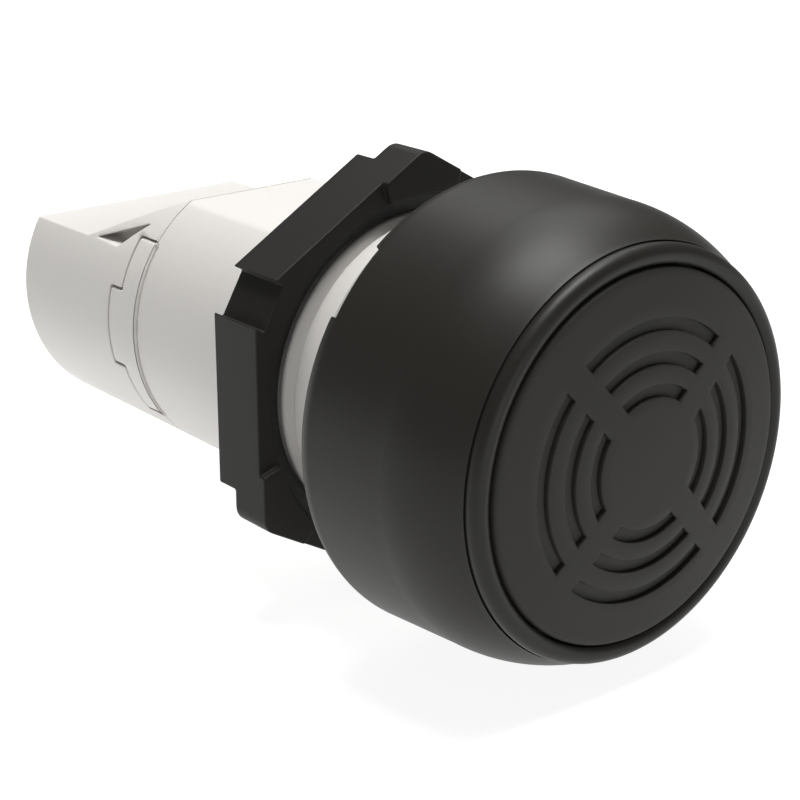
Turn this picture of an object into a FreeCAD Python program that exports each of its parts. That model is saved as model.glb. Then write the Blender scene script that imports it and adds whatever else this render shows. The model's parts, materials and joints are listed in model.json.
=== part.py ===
import FreeCAD, Part
import math
import os

# Panel buzzer for a 22 mm hole, in millimetres. The axis of the buzzer is the Y axis. Y = 0 is the
# rear face of the panel gasket, where the panel sits. -Y is the front (sound) side, +Z is up.

# --- Panel interface -----------------------------------------------------------------------------
THREAD_MAJOR_R = 11.0
THREAD_DEPTH = 0.85
THREAD_PITCH = 1.5
THREAD_START = 4.6
THREAD_END = 13.3
GASKET_R = 13.6
GASKET_THICK = 1.0
GASKET_BOSS_R = 11.4
FLANGE_R = 12.93
FLANGE_THICK = 1.6
KEYWAY_WIDTH = 1.8
KEYWAY_DEPTH = 1.3

# --- Head (the black front cover) ----------------------------------------------------------------
HEAD_REAR_R = 14.69
HEAD_MAX_R = 15.1
HEAD_SHOULDER_R = 14.8
HEAD_FRONT_R = 13.16
HEAD_LENGTH = 13.15
HEAD_STANDOFF = 0.1
HEAD_SHOULDER_AT = 7.4
HEAD_REAR_ROUND = 1.3
HEAD_REAR_BULGE = 0.1
HEAD_BEND_R = 14.42
HEAD_BEND_AT = 10.25
HEAD_BORE_R = 13.0
LIP_THICK = 2.0
LIP_BORE_R = 10.6
LIP_RECESS = 0.75
NOTCH_DEPTH = 0.9
NOTCH_START_DEG = 127.0
NOTCH_END_DEG = 147.0

# --- Grille --------------------------------------------------------------------------------------
RIM_RING_INNER_R = 11.92
RIM_RING_RISE = 0.95
GRILLE_R = 11.78
GRILLE_EDGE_THICK = 1.8
GRILLE_DOME_R = 80.0
GRILLE_SKIN = 0.38
SLOT_RADII = (4.53, 6.47, 8.49)
SLOT_WIDTH = 0.8
BRIDGE_WIDTH = 1.9
BRIDGE_COUNT = 4
BRIDGE_START_DEG = 42.5
SPIGOT_R = 10.5
SPIGOT_INNER_R = 9.6
SPIGOT_SETBACK = 0.3

# --- Sounder inside the head ---------------------------------------------------------------------
MEMBRANE_R = 9.5
MEMBRANE_THICK = 0.25
CHAMBER_R = 12.7
CHAMBER_BORE_R = 10.4
CHAMBER_LENGTH = 4.0
CHAMBER_FLOOR = 1.0
CHAMBER_PORT_R = 1.6
CHAMBER_SIDE_PORT_R = 0.8
CHAMBER_SIDE_PORTS = 6
CHAMBER_SIDE_PORT_PCR = 6.0
PIEZO_R = 11.6
PIEZO_THICK = 0.3
CERAMIC_R = 7.6
CERAMIC_THICK = 0.25
HOLDER_BORE_R = 10.2
HOLDER_THICK = 1.4

# --- Front housing (light grey, through the panel) -----------------------------------------------
HUB_R = 12.6
HUB_BORE_R = 9.6
ORING_SECTION_R = 0.7
ORING_SQUEEZE = 0.1
BODY_R = 10.54
BODY_BORE_R = 9.0
BODY_END = 24.3
BODY_FLAT_Z = 9.1
BODY_FLAT_SKIN = 1.3
RAIL_REACH = 1.7
RAIL_HEIGHT = 1.4
RAIL_START = 2.5
TONGUE_HALF_WIDTH = 6.4
TONGUE_LENGTH = 2.1
TIP_HALF_WIDTH = 2.8
TIP_LENGTH = 1.4
SEAM_GAP = 0.18

# --- Rear cap (terminal cover) -------------------------------------------------------------------
REAR_END = 39.9
REAR_WALL = 1.5
REAR_FLAT_Z = 5.46
RAMP_END = 32.7
SIDE_WALL = 1.4
POCKET_START = 26.3
POCKET_CORNER = 28.6
POCKET_END = 31.5
POCKET_TOP_Z = 7.33
POCKET_DEPTH = 1.1

# --- Terminals -----------------------------------------------------------------------------------
TERMINAL_X = 4.7
TERMINAL_Z = -1.0
TERMINAL_SETBACK = 5.7
TERMINAL_THICK = 1.2
TERMINAL_OUTER_X = 7.7
TERMINAL_HEIGHT = 6.8
BLOCK_START = 29.2
BLOCK_HALF_WIDTH = 7.9
BLOCK_HALF_HEIGHT = 4.6
TAIL_WIDTH = 1.4
TAIL_THICK = 0.8
WIRE_GAP = 2.1
WIRE_ENTRY_R = 1.3
WIRE_BOSS_TOP_Z = -6.6
WIRE_BOSS_R = 2.1
CLAMP_SIZE = 5.8
CLAMP_THICK = 1.0
SCREW_R = 1.42
SCREW_LENGTH = 8.6
SCREW_HEAD_R = 2.6
SCREW_HEAD_THICK = 1.7
SCREW_SLOT = 0.7
SCREW_ACCESS_R = 2.95
BARRIER_THICK = 1.2

# --- Circuit board -------------------------------------------------------------------------------
BOARD_HALF_WIDTH = 8.0
BOARD_START = -3.6
BOARD_END = 24.6
BOARD_THICK = 1.2
BOARD_TOP_Z = -0.6
LEAD_R = 0.4

# --- Fixing nut and its washer -------------------------------------------------------------------
CORNER_R = 15.3
NUT_FRONT = 5.3
NUT_THICK = 4.6
NUT_FLAT = 13.35
NUT_TRUNCATED_FLAT = 14.46
NUT_STEP_AT = 2.8
PAD_HEIGHT = 0.5
PAD_HALF_ANGLE = 13.0
PAD_INNER_R = 12.45
COUNTERBORE_R = 12.2
COUNTERBORE_DEPTH = 1.5
NOTCH_FLAT = 13.75
CORNER_NOTCH_WIDTH = 3.2
WASHER_R = 12.1
WASHER_THICK = 0.5
KEY_WIDTH = 1.5
KEY_REACH = 0.95

# --- Clearances ----------------------------------------------------------------------------------
SEAT_GAP = 0.03
THREAD_GAP = 0.09
KEY_GAP = 0.1
SCREW_GAP = 0.08

PI2 = 360.0
AXIS = FreeCAD.Vector(0, 1, 0)

# Places along the axis that follow from the sizes above.
GASKET_FRONT = -GASKET_THICK
FLANGE_REAR = GASKET_FRONT - SEAT_GAP
FLANGE_FRONT = FLANGE_REAR - FLANGE_THICK
HEAD_REAR = GASKET_FRONT - HEAD_STANDOFF
HEAD_FRONT = HEAD_REAR - HEAD_LENGTH
LIP_FRONT = HEAD_FRONT + LIP_RECESS
LIP_REAR = LIP_FRONT + LIP_THICK
CHAMBER_FRONT = LIP_REAR + SEAT_GAP
CHAMBER_REAR = CHAMBER_FRONT + CHAMBER_LENGTH
PIEZO_FRONT = CHAMBER_REAR + SEAT_GAP
PIEZO_REAR = PIEZO_FRONT + PIEZO_THICK
HOLDER_FRONT = PIEZO_REAR + SEAT_GAP
HOLDER_REAR = HOLDER_FRONT + HOLDER_THICK
HUB_FRONT = HOLDER_REAR + SEAT_GAP
HUB_LENGTH = FLANGE_FRONT - HUB_FRONT
NUT_REAR = NUT_FRONT + NUT_THICK
PAD_FRONT = NUT_FRONT - PAD_HEIGHT
WASHER_REAR = NUT_FRONT + COUNTERBORE_DEPTH - SEAT_GAP
WASHER_FRONT = WASHER_REAR - WASHER_THICK
TERMINAL_FACE = REAR_END - TERMINAL_SETBACK
TERMINAL_WIDTH = 2 * (TERMINAL_OUTER_X - TERMINAL_X)
TAIL_OFFSET = (TERMINAL_WIDTH - TAIL_WIDTH) / 2
CLAMP_FRONT = TERMINAL_FACE + WIRE_GAP
HEAD_SEAT = CLAMP_FRONT + CLAMP_THICK + SEAT_GAP
WIRE_ENTRY_X = (BARRIER_THICK / 2 + TERMINAL_X - SCREW_R) / 2
WIRE_ENTRY_Y = TERMINAL_FACE + WIRE_GAP / 2


def rod(radius, start, end, x=0.0, z=0.0):
    """A cylinder along Y."""
    return Part.makeCylinder(radius, end - start, FreeCAD.Vector(x, start, z), AXIS)


def tube(outer, inner, start, end):
    """A ring along Y, with its bore cut clean through."""
    return rod(outer, start, end).cut(rod(inner, start - 1, end + 1))


def box(x0, x1, y0, y1, z0, z1):
    """A box between two corners."""
    return Part.makeBox(x1 - x0, y1 - y0, z1 - z0, FreeCAD.Vector(x0, y0, z0))


def revolve(edges):
    """Turns a closed outline, given as edges in the XY plane, about the Y axis."""
    face = Part.Face(Part.Wire(edges))
    return face.revolve(FreeCAD.Vector(0, 0, 0), AXIS, PI2)


def outline(points):
    """The straight edges of a closed outline of (radius, y) points."""
    corners = [FreeCAD.Vector(r, y, 0) for r, y in points]
    return [Part.makeLine(a, b) for a, b in zip(corners, corners[1:] + corners[:1])]


def prism_x(points, x0, x1):
    """A prism along X from (y, z) points."""
    corners = [FreeCAD.Vector(x0, y, z) for y, z in points]
    face = Part.Face(Part.makePolygon(corners + corners[:1]))
    return face.extrude(FreeCAD.Vector(x1 - x0, 0, 0))


def prism_y(points, y0, y1):
    """A prism along Y from (x, z) points."""
    corners = [FreeCAD.Vector(x, y0, z) for x, z in points]
    face = Part.Face(Part.makePolygon(corners + corners[:1]))
    return face.extrude(FreeCAD.Vector(0, y1 - y0, 0))


def polar(radius, degrees):
    """The (x, z) point at this radius and angle, counted from +X towards +Z."""
    angle = math.radians(degrees)
    return radius * math.cos(angle), radius * math.sin(angle)


def hexagon(flat, first_corner, y0, y1):
    """A six-sided prism with this distance from the axis to each flat."""
    corner = flat / math.cos(math.radians(30))
    return prism_y([polar(corner, first_corner + 60 * i) for i in range(6)], y0, y1)


def turned(shape, degrees):
    """A copy turned about the Y axis, in the sense of polar()."""
    copy = shape.copy()
    copy.rotate(FreeCAD.Vector(0, 0, 0), AXIS, -degrees)
    return copy


def wedge(start_deg, end_deg, radius, y0, y1):
    """A pie-shaped prism from the axis out."""
    middle = (start_deg + end_deg) / 2
    reach = radius * 1.5
    points = [(0.0, 0.0), polar(reach, start_deg), polar(reach, middle), polar(reach, end_deg)]
    return prism_y(points, y0, y1)


def ring_of_wire(centre_r, section_r, y):
    """A torus around the Y axis."""
    return Part.makeTorus(centre_r, section_r, FreeCAD.Vector(0, y, 0), AXIS)


def lead(points):
    """A round insulated wire with rounded bends through the points."""
    knots = [FreeCAD.Vector(*p) for p in points]
    pieces = [Part.makeSphere(LEAD_R, k) for k in knots]
    for a, b in zip(knots, knots[1:]):
        span = b.sub(a)
        pieces.append(Part.makeCylinder(LEAD_R, span.Length, a, span))
    return pieces[0].fuse(pieces[1:]).removeSplitter()


def head_outline():
    """The half outline of the head's outer skin, from the rear rim to the front edge, as edges."""
    rear = FreeCAD.Vector(HEAD_REAR_R, HEAD_REAR, 0)
    widest = FreeCAD.Vector(HEAD_MAX_R, HEAD_REAR - HEAD_REAR_ROUND, 0)
    shoulder = FreeCAD.Vector(HEAD_SHOULDER_R, HEAD_REAR - HEAD_SHOULDER_AT, 0)
    front = FreeCAD.Vector(HEAD_FRONT_R, HEAD_FRONT, 0)
    rear_bend = FreeCAD.Vector(HEAD_MAX_R - HEAD_REAR_BULGE, HEAD_REAR - HEAD_REAR_ROUND * 0.4, 0)
    bend = FreeCAD.Vector(HEAD_BEND_R, HEAD_REAR - HEAD_BEND_AT, 0)
    return [
        Part.Arc(rear, rear_bend, widest).toShape(),
        Part.makeLine(widest, shoulder),
        Part.Arc(shoulder, bend, front).toShape(),
    ]


def make_head_shell():
    """The black cover: a deep cup with a front lip, a recess for the grille and a notch in its rim."""
    skin = head_outline()
    inside = [
        (HEAD_FRONT_R, HEAD_FRONT),
        (HEAD_FRONT_R, LIP_FRONT),
        (LIP_BORE_R, LIP_FRONT),
        (LIP_BORE_R, LIP_REAR),
        (HEAD_BORE_R, LIP_REAR),
        (HEAD_BORE_R, HEAD_REAR),
        (HEAD_REAR_R, HEAD_REAR),
    ]
    shell = revolve(skin + chain(inside))
    notch = wedge(NOTCH_START_DEG, NOTCH_END_DEG, HEAD_MAX_R, HEAD_REAR - NOTCH_DEPTH, HEAD_REAR + 1)
    return shell.cut(notch)


def grille_front(radius):
    """The Y of the domed grille face at this radius."""
    centre = LIP_FRONT - GRILLE_EDGE_THICK - GRILLE_DOME_R + math.sqrt(GRILLE_DOME_R**2 - GRILLE_R**2)
    return centre + GRILLE_DOME_R - math.sqrt(GRILLE_DOME_R**2 - radius**2)


def make_rim_ring():
    """The rounded ring around the grille disc."""
    outer = HEAD_FRONT_R - 0.06
    inner_top = FreeCAD.Vector(RIM_RING_INNER_R, HEAD_FRONT - RIM_RING_RISE * 0.75, 0)
    outer_top = FreeCAD.Vector(outer, HEAD_FRONT - 0.05, 0)
    crest = FreeCAD.Vector((RIM_RING_INNER_R * 0.6 + outer * 0.4), HEAD_FRONT - RIM_RING_RISE, 0)
    low_outer = FreeCAD.Vector(outer, LIP_FRONT - SEAT_GAP, 0)
    low_inner = FreeCAD.Vector(RIM_RING_INNER_R, LIP_FRONT - SEAT_GAP, 0)
    return revolve([
        Part.Arc(inner_top, crest, outer_top).toShape(),
        Part.makeLine(outer_top, low_outer),
        Part.makeLine(low_outer, low_inner),
        Part.makeLine(low_inner, inner_top),
    ])


def dome(radius, depth):
    """The arc of the grille dome from the axis out to this radius, this far behind its face."""
    points = [FreeCAD.Vector(r, grille_front(r) + depth, 0) for r in (0.0, radius / 2, radius)]
    return Part.Arc(*points).toShape()


def chain(points):
    """Straight edges through (radius, y) points."""
    corners = [FreeCAD.Vector(r, y, 0) for r, y in points]
    return [Part.makeLine(a, b) for a, b in zip(corners, corners[1:])]


def make_grille_disc():
    """The domed, slotted disc, with a thick edge and a short spigot that enters the head's lip."""
    seat = LIP_FRONT - SEAT_GAP
    tip = LIP_REAR - SPIGOT_SETBACK
    back_edge = grille_front(SPIGOT_INNER_R) + GRILLE_SKIN
    under = [
        (GRILLE_R, grille_front(GRILLE_R)),
        (GRILLE_R, seat),
        (SPIGOT_R, seat),
        (SPIGOT_R, tip),
        (SPIGOT_INNER_R, tip),
        (SPIGOT_INNER_R, back_edge),
    ]
    axis_line = [(0.0, grille_front(0) + GRILLE_SKIN), (0.0, grille_front(0))]
    edges = [dome(GRILLE_R, 0.0)] + chain(under) + [dome(SPIGOT_INNER_R, GRILLE_SKIN)] + chain(axis_line)
    disc = revolve(edges)
    front = grille_front(0) - 1
    back = grille_front(GRILLE_R) + GRILLE_SKIN + 1
    bars = []
    for i in range(BRIDGE_COUNT):
        bar = box(0, GRILLE_R, front, back, -BRIDGE_WIDTH / 2, BRIDGE_WIDTH / 2)
        bars.append(turned(bar, BRIDGE_START_DEG + i * PI2 / BRIDGE_COUNT))
    for radius in SLOT_RADII:
        slot = tube(radius + SLOT_WIDTH / 2, radius - SLOT_WIDTH / 2, front, back)
        disc = disc.cut(slot.cut(bars))
    return disc


def make_splash_membrane():
    """The thin felt that follows the back of the grille."""
    front = GRILLE_SKIN + SEAT_GAP
    back = front + MEMBRANE_THICK
    side = [(MEMBRANE_R, grille_front(MEMBRANE_R) + front), (MEMBRANE_R, grille_front(MEMBRANE_R) + back)]
    axis_line = [(0.0, grille_front(0) + back), (0.0, grille_front(0) + front)]
    return revolve([dome(MEMBRANE_R, front)] + chain(side) + [dome(MEMBRANE_R, back)] + chain(axis_line))


def make_sound_chamber():
    """The resonator cup in front of the piezo disc, with a centre port and a ring of small ports."""
    cup = rod(CHAMBER_R, CHAMBER_FRONT, CHAMBER_REAR)
    cup = cup.cut(rod(CHAMBER_BORE_R, CHAMBER_FRONT + CHAMBER_FLOOR, CHAMBER_REAR + 1))
    ports = [rod(CHAMBER_PORT_R, CHAMBER_FRONT - 1, CHAMBER_REAR)]
    for i in range(CHAMBER_SIDE_PORTS):
        x, z = polar(CHAMBER_SIDE_PORT_PCR, i * PI2 / CHAMBER_SIDE_PORTS)
        ports.append(rod(CHAMBER_SIDE_PORT_R, CHAMBER_FRONT - 1, CHAMBER_REAR, x, z))
    return cup.cut(ports)


def make_sounder():
    """Splash membrane, resonator cup, piezo disc with its ceramic, and the ring that holds them."""
    ceramic_rear = PIEZO_REAR + SEAT_GAP + CERAMIC_THICK
    return {
        "splash_membrane": make_splash_membrane(),
        "sound_chamber": make_sound_chamber(),
        "piezo_plate": rod(PIEZO_R, PIEZO_FRONT, PIEZO_REAR),
        "piezo_ceramic": rod(CERAMIC_R, PIEZO_REAR + SEAT_GAP, ceramic_rear),
        "piezo_holder": tube(CHAMBER_R, HOLDER_BORE_R, HOLDER_FRONT, HOLDER_REAR),
    }


def body_section(radius, flat_z, y0, y1):
    """A cylinder along Y with a flat along its top."""
    solid = rod(radius, y0, y1)
    return solid.cut(box(-radius, radius, y0 - 1, y1 + 1, flat_z, radius + 1))


def tongue(side, grow, y0):
    """The stepped snap tongue on one side of the body, grown by a gap for the cut-out it sits in."""
    half = TONGUE_HALF_WIDTH + grow
    tip = TIP_HALF_WIDTH + grow
    inner, outer = sorted((side * BODY_BORE_R * 0.6, side * (BODY_R + 1)))
    root = box(inner, outer, y0, BODY_END + TONGUE_LENGTH + grow, -half, half)
    end = box(inner, outer, y0, BODY_END + TONGUE_LENGTH + TIP_LENGTH + grow, -tip, tip)
    return root.fuse(end)


def make_front_housing():
    """The light grey body: hub, flange, threaded barrel with keyway, flat-topped tube and tongues."""
    groove_y = HUB_FRONT + HUB_LENGTH / 2
    hub = rod(HUB_R, HUB_FRONT, FLANGE_FRONT + 0.5)
    hub = hub.cut(ring_of_wire(HEAD_BORE_R - ORING_SECTION_R, ORING_SECTION_R + ORING_SQUEEZE, groove_y))
    flange = rod(FLANGE_R, FLANGE_FRONT, FLANGE_REAR)
    boss = rod(GASKET_BOSS_R, FLANGE_REAR - 0.5, 0.0)
    barrel = rod(THREAD_MAJOR_R, -0.5, THREAD_END)
    reach = THREAD_MAJOR_R + 0.1
    depth = THREAD_MAJOR_R - THREAD_DEPTH
    crest = THREAD_PITCH / 8
    grooves = []
    for i in range(int((THREAD_END - THREAD_START) / THREAD_PITCH)):
        y = THREAD_START + i * THREAD_PITCH
        mouth = y + THREAD_PITCH - crest
        grooves.append(revolve(outline([(reach, y), (depth, (y + mouth) / 2), (reach, mouth)])))
    barrel = barrel.cut(grooves)
    keyway_bottom = -(THREAD_MAJOR_R - KEYWAY_DEPTH)
    half_key = KEYWAY_WIDTH / 2
    keyway = box(-half_key, half_key, 0.0, THREAD_END + 0.01, -THREAD_MAJOR_R - 1, keyway_bottom)
    barrel = barrel.cut(keyway)
    rear_tube = body_section(BODY_R, BODY_FLAT_Z, THREAD_END - 0.2, BODY_END)
    tips = []
    skin = tube(BODY_R, BODY_BORE_R, BODY_END - 0.5, BODY_END + TONGUE_LENGTH + TIP_LENGTH + 1)
    for side in (-1, 1):
        tips.append(skin.common(tongue(side, 0.0, BODY_END - 0.5)))
    housing = hub.fuse([flange, boss, barrel, rear_tube] + tips)
    housing = housing.cut(rod(HUB_BORE_R, HUB_FRONT - 1, FLANGE_FRONT))
    bore = body_section(BODY_BORE_R, BODY_FLAT_Z - BODY_FLAT_SKIN, FLANGE_FRONT - 0.01, BODY_END + 9)
    housing = housing.cut(bore)
    rails = []
    rail_top = BOARD_TOP_Z - BOARD_THICK - SEAT_GAP
    ring = rod(BODY_BORE_R + 0.4, RAIL_START, BODY_END - 1)
    for side in (-1, 1):
        inner, outer = sorted((side * (BODY_BORE_R - RAIL_REACH), side * (BODY_BORE_R + 0.5)))
        rail = box(inner, outer, RAIL_START, BODY_END - 1, rail_top - RAIL_HEIGHT, rail_top)
        rails.append(rail.common(ring))
    return housing.fuse(rails).removeSplitter()


def make_seals():
    """The ring between head and housing, and the gasket that seals on the panel."""
    groove_y = HUB_FRONT + HUB_LENGTH / 2
    section = ORING_SECTION_R - SEAT_GAP
    return {
        "head_oring": ring_of_wire(HEAD_BORE_R - ORING_SECTION_R - SEAT_GAP, section, groove_y),
        "panel_gasket": tube(GASKET_R, GASKET_BOSS_R + SEAT_GAP, GASKET_FRONT, 0.0),
    }


def cut_corner_notches(shape, first, count, y0, y1):
    """Cuts a flat-bottomed notch in evenly spaced corners, starting at this angle."""
    for i in range(count):
        half = CORNER_NOTCH_WIDTH / 2
        notch = box(NOTCH_FLAT, NOTCH_FLAT + 5, y0 - 1, y1 + 1, -half, half)
        shape = shape.cut(turned(notch, first + i * PI2 / count))
    return shape


def make_lock_washer():
    """The thin washer in the nut's counterbore, with a key that keeps it from turning."""
    ring = tube(WASHER_R, THREAD_MAJOR_R + THREAD_GAP, WASHER_FRONT, WASHER_REAR)
    half = KEY_WIDTH / 2
    tip = -(THREAD_MAJOR_R - KEY_REACH)
    key = box(-half, half, WASHER_FRONT, WASHER_REAR, -THREAD_MAJOR_R - 0.6, tip)
    return ring.fuse(key).removeSplitter()


def make_fixing_nut():
    """The hexagon nut: three full corners with raised pads in front, all six trimmed at the rear."""
    step = NUT_FRONT + NUT_STEP_AT
    front = hexagon(NUT_FLAT, 30, NUT_FRONT, step).common(rod(CORNER_R, NUT_FRONT, step))
    front = cut_corner_notches(front, 30, 3, NUT_FRONT, step)
    rear = hexagon(NUT_FLAT, 30, step, NUT_REAR)
    rear = rear.common(hexagon(NUT_TRUNCATED_FLAT, 0, step, NUT_REAR))
    rear = cut_corner_notches(rear, 30, 6, step, NUT_REAR)
    blank = hexagon(NUT_FLAT, 30, PAD_FRONT, NUT_FRONT + 0.1)
    blank = blank.common(tube(CORNER_R, PAD_INNER_R, PAD_FRONT, NUT_FRONT + 0.1))
    pads = []
    for middle in (90, 210, 330):
        start = middle - PAD_HALF_ANGLE
        end = middle + PAD_HALF_ANGLE
        pads.append(blank.common(wedge(start, end, CORNER_R, PAD_FRONT, NUT_FRONT + 0.1)))
    nut = front.fuse([rear] + pads)
    bore = rod(THREAD_MAJOR_R + THREAD_GAP, NUT_FRONT - 1, NUT_REAR + 1)
    counterbore = rod(COUNTERBORE_R, NUT_FRONT - 1, NUT_FRONT + COUNTERBORE_DEPTH)
    return nut.cut([bore, counterbore]).removeSplitter()


def make_rear_cap():
    """The terminal cover: a flat-topped cup with a sloping shoulder, snap cut-outs and wire holes."""
    start = BODY_END + SEAM_GAP
    low = -BODY_R - 1
    skin = rod(BODY_R, start, REAR_END)
    side = [
        (start, low),
        (REAR_END, low),
        (REAR_END, REAR_FLAT_Z),
        (RAMP_END, REAR_FLAT_Z),
        (start, BODY_FLAT_Z),
    ]
    cap = skin.common(prism_x(side, -BODY_R - 1, BODY_R + 1))
    cap_rear = REAR_END - REAR_WALL
    hollow_side = [
        (start - 1, low),
        (cap_rear, low),
        (cap_rear, REAR_FLAT_Z - SIDE_WALL),
        (RAMP_END - 0.6, REAR_FLAT_Z - SIDE_WALL),
        (start - 1, BODY_FLAT_Z - SIDE_WALL - 0.1),
    ]
    hollow = rod(BODY_BORE_R, start - 1, cap_rear).common(prism_x(hollow_side, -BODY_R, BODY_R))
    cap = cap.cut(hollow)
    pocket_side = [
        (POCKET_CORNER, REAR_FLAT_Z),
        (POCKET_START, POCKET_TOP_Z),
        (POCKET_END, REAR_FLAT_Z + 0.1),
    ]
    pocket = prism_x(pocket_side, -BODY_R - 1, BODY_R + 1)
    pocket = pocket.cut(rod(BODY_R - POCKET_DEPTH, start, REAR_END))
    cap = cap.cut(pocket)
    for hand in (-1, 1):
        cap = cap.cut(tongue(hand, SEAM_GAP, start - 1))
        cap = cap.cut(rod(SCREW_ACCESS_R, cap_rear - 1, REAR_END + 1, hand * TERMINAL_X, TERMINAL_Z))
    up = FreeCAD.Vector(0, 0, 1)
    inner_r = BODY_BORE_R + 0.4
    for hand in (-1, 1):
        foot = FreeCAD.Vector(hand * WIRE_ENTRY_X, WIRE_ENTRY_Y, -BODY_R)
        boss = Part.makeCylinder(WIRE_BOSS_R, BODY_R + WIRE_BOSS_TOP_Z, foot, up)
        cap = cap.fuse(boss.common(rod(inner_r, start, REAR_END)))
    for hand in (-1, 1):
        foot = FreeCAD.Vector(hand * WIRE_ENTRY_X, WIRE_ENTRY_Y, -BODY_R - 1)
        cap = cap.cut(Part.makeCylinder(WIRE_ENTRY_R, BODY_R, foot, up))
    return cap.removeSplitter()


def make_terminal_block():
    """The insulating block that carries both terminals, with a barrier between them."""
    bar_front = TERMINAL_FACE - TERMINAL_THICK - SEAT_GAP
    low = TERMINAL_Z - BLOCK_HALF_HEIGHT
    high = TERMINAL_Z + BLOCK_HALF_HEIGHT
    block = box(-BLOCK_HALF_WIDTH, BLOCK_HALF_WIDTH, BLOCK_START, bar_front, low, high)
    block = block.common(rod(BODY_BORE_R - SEAT_GAP, BLOCK_START, bar_front))
    half = BARRIER_THICK / 2
    rear = REAR_END - REAR_WALL - SEAT_GAP
    barrier = box(-half, half, BLOCK_START, rear, low, high)
    block = block.fuse(barrier)
    tail_z = BOARD_TOP_Z + SEAT_GAP
    for side in (-1, 1):
        x = side * TERMINAL_X
        block = block.cut(rod(SCREW_R + 0.35, BLOCK_START - 1, TERMINAL_FACE, x, TERMINAL_Z))
        slot_x = side * (TERMINAL_X + TAIL_OFFSET)
        half_slot = TAIL_WIDTH / 2 + KEY_GAP
        slot = box(slot_x - half_slot, slot_x + half_slot, BLOCK_START - 1, TERMINAL_FACE,
                   tail_z - KEY_GAP, tail_z + TAIL_THICK + KEY_GAP)
        block = block.cut(slot)
    return block.removeSplitter()


def make_terminal(side):
    """One terminal: a tapped plate with a tail that runs forward to the circuit board."""
    x = side * TERMINAL_X
    front = TERMINAL_FACE - TERMINAL_THICK
    half = TERMINAL_WIDTH / 2
    half_height = TERMINAL_HEIGHT / 2
    plate = box(x - half, x + half, front, TERMINAL_FACE, TERMINAL_Z - half_height, TERMINAL_Z + half_height)
    tail_x = side * (TERMINAL_X + TAIL_OFFSET)
    tail_z = BOARD_TOP_Z + SEAT_GAP
    tail = box(tail_x - TAIL_WIDTH / 2, tail_x + TAIL_WIDTH / 2, BOARD_END - 2.2, front + 0.2,
               tail_z, tail_z + TAIL_THICK)
    return plate.fuse(tail).cut(rod(SCREW_R + SCREW_GAP, front - 1, TERMINAL_FACE + 1, x, TERMINAL_Z))


def make_wire_clamp(side):
    """The square plate that presses the wire on the terminal, with a lip that stops it turning."""
    x = side * TERMINAL_X
    half = TERMINAL_WIDTH / 2 - KEY_GAP
    half_height = CLAMP_SIZE / 2
    rear = CLAMP_FRONT + CLAMP_THICK
    plate = box(x - half, x + half, CLAMP_FRONT, rear, TERMINAL_Z - half_height, TERMINAL_Z + half_height)
    return plate.cut(rod(SCREW_R + SCREW_GAP, CLAMP_FRONT - 1, rear + 1, x, TERMINAL_Z))


def make_terminal_screw(side):
    """A pan-head screw with a crossed slot."""
    x = side * TERMINAL_X
    shank = rod(SCREW_R, HEAD_SEAT - SCREW_LENGTH, HEAD_SEAT + 0.1, x, TERMINAL_Z)
    top = HEAD_SEAT + SCREW_HEAD_THICK
    head = rod(SCREW_HEAD_R, HEAD_SEAT, top, x, TERMINAL_Z)
    circles = [e for e in head.Edges if e.Curve.TypeId == "Part::GeomCircle"]
    rim = [e for e in circles if e.Curve.Center.y > HEAD_SEAT + 0.5]
    head = head.makeFillet(0.5, rim[:1])
    half = SCREW_SLOT / 2
    reach = SCREW_HEAD_R * 0.72
    for across in ((reach, half), (half, reach)):
        dx, dz = across
        head = head.cut(box(x - dx, x + dx, top - 0.9, top + 1, TERMINAL_Z - dz, TERMINAL_Z + dz))
    return shank.fuse(head).removeSplitter()


def make_board():
    """The circuit board and the parts soldered on it."""
    floor = BOARD_TOP_Z - BOARD_THICK
    board = box(-BOARD_HALF_WIDTH, BOARD_HALF_WIDTH, BOARD_START, BOARD_END, floor, BOARD_TOP_Z)
    seat = BOARD_TOP_Z + SEAT_GAP
    up = FreeCAD.Vector(0, 0, 1)
    chip = box(-2.5, 2.5, 5.0, 9.0, seat + 0.1, seat + 1.6)
    legs = []
    for side in (-1, 1):
        for i in range(4):
            y = 5.4 + i * 1.07
            inner, outer = sorted((side * 2.4, side * 3.5))
            legs.append(box(inner, outer, y, y + 0.4, seat, seat + 0.3))
    chip = chip.fuse(legs).removeSplitter()
    can = Part.makeCylinder(2.5, 5.4, FreeCAD.Vector(-3.6, 19.5, seat), up)
    drum = Part.makeCylinder(3.0, 0.8, FreeCAD.Vector(3.6, 19.0, seat), up)
    neck = Part.makeCylinder(1.6, 4.4, FreeCAD.Vector(3.6, 19.0, seat), up)
    cap = Part.makeCylinder(3.0, 0.8, FreeCAD.Vector(3.6, 19.0, seat + 3.8), up)
    winding = Part.makeCylinder(2.6, 2.9, FreeCAD.Vector(3.6, 19.0, seat + 0.85), up)
    winding = winding.cut(Part.makeCylinder(1.65, 4.0, FreeCAD.Vector(3.6, 19.0, seat), up))
    resistors = [box(x, x + 1.6, 12.2, 13.0, seat, seat + 0.5) for x in (-5.8, -3.2, -0.6, 2.0)]
    diodes = [box(x, x + 2.0, 14.2, 15.6, seat, seat + 0.9) for x in (-5.8, -2.4, 1.0, 4.4)]
    return {
        "circuit_board": board,
        "driver_chip": chip,
        "filter_capacitor": can,
        "coil_core": drum.fuse([neck, cap]).removeSplitter(),
        "coil_winding": winding,
        "resistors": Part.makeCompound(resistors),
        "rectifier_diodes": Part.makeCompound(diodes),
    }


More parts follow.
